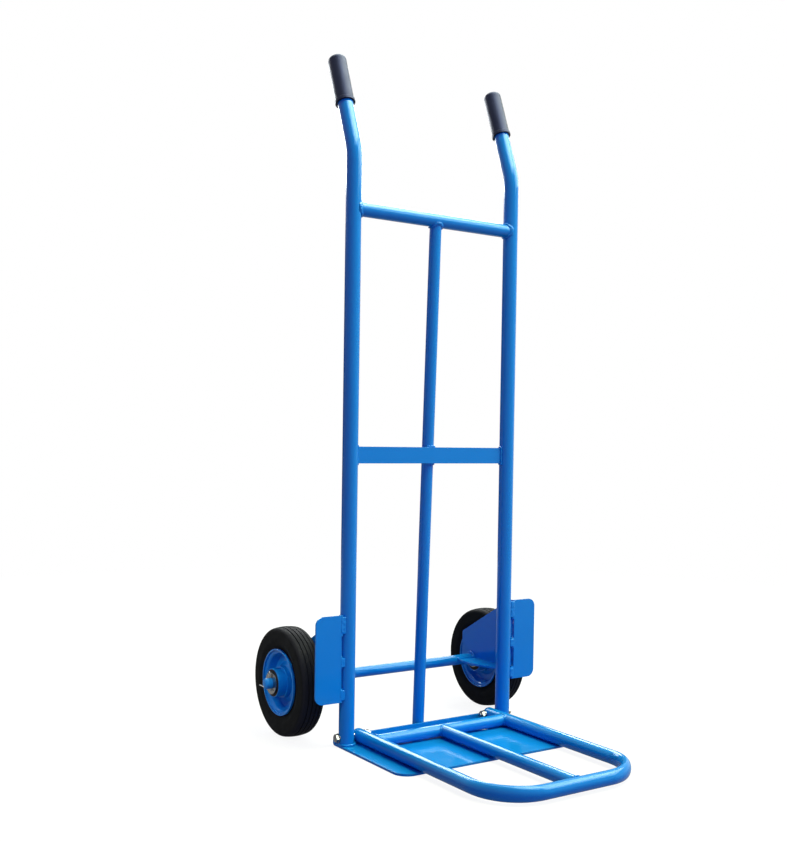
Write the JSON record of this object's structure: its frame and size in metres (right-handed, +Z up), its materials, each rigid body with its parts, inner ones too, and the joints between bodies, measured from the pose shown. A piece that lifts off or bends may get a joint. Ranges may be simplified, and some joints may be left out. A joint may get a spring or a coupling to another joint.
{
  "type": "sack truck",
  "caption": "Upright tubular sack truck with bent-back gripped handles, solid-tyred wheels on a rear axle behind guards, a flat toe plate and a hinged fold-up toe extension.",
  "frame": {"origin": "on the floor under the toe plate, midway between the feet of the two uprights", "axes": "+X across the truck to the left of the person pushing it, -Y the way the toe points, +Z up"},
  "size_m": [0.562, 0.6375, 1.2319],
  "materials": {
    "blue_paint": "gloss",
    "zinc_plate": "zinc plated",
    "bearing_steel": "ground and polished",
    "black_seal": "matt",
    "black_tyre": "matt",
    "black_grip": "satin moulded"
  },
  "bodies": {
    "frame": {"left_upright": "blue_paint", "right_upright": "blue_paint", "left_grip": "black_grip", "right_grip": "black_grip", "top_cross_tube": "blue_paint", "mid_strap": "blue_paint", "centre_tube": "blue_paint", "toe_plate": "blue_paint", "left_wheel_bracket": "blue_paint", "right_wheel_bracket": "blue_paint", "left_axle_stay": "blue_paint", "right_axle_stay": "blue_paint", "axle": "blue_paint", "inner_axle_washers": "zinc_plate", "outer_axle_washers": "zinc_plate", "split_pins": "zinc_plate", "pivot_bolts": "zinc_plate", "pivot_nuts": "zinc_plate", "pivot_head_washers": "zinc_plate", "pivot_spacer_washers": "zinc_plate", "pivot_nut_washers": "zinc_plate", "bearing_spacers": "bearing_steel", "bearing_inner_rings": "bearing_steel"},
    "toe_extension": {"extension_loop": "blue_paint", "extension_rear_tube": "blue_paint", "extension_mid_tube": "blue_paint"},
    "left_wheel": {"left_tyre": "black_tyre", "left_hub_tube": "blue_paint", "left_outer_rim_disc": "blue_paint", "left_inner_rim_disc": "blue_paint", "left_bearing_outer_rings": "bearing_steel", "left_hub_seals": "black_seal", "left_bearing_balls": "bearing_steel"},
    "right_wheel": {"right_tyre": "black_tyre", "right_hub_tube": "blue_paint", "right_outer_rim_disc": "blue_paint", "right_inner_rim_disc": "blue_paint", "right_bearing_outer_rings": "bearing_steel", "right_hub_seals": "black_seal", "right_bearing_balls": "bearing_steel"}
  },
  "joints": [
    {"name": "left_wheel_spin", "type": "hinge", "parent": "frame", "child": "left_wheel", "pos_m": [0.2305, 0.119, 0.1], "axis": [1, 0, 0], "continuous": true},
    {"name": "right_wheel_spin", "type": "hinge", "parent": "frame", "child": "right_wheel", "pos_m": [-0.2305, 0.119, 0.1], "axis": [1, 0, 0], "continuous": true},
    {"name": "toe_extension_fold", "type": "hinge", "parent": "frame", "child": "toe_extension", "pos_m": [0, 0.004, 0.0163], "axis": [-1, 0, 0], "range_deg": [0, 88.4]}
  ]
}
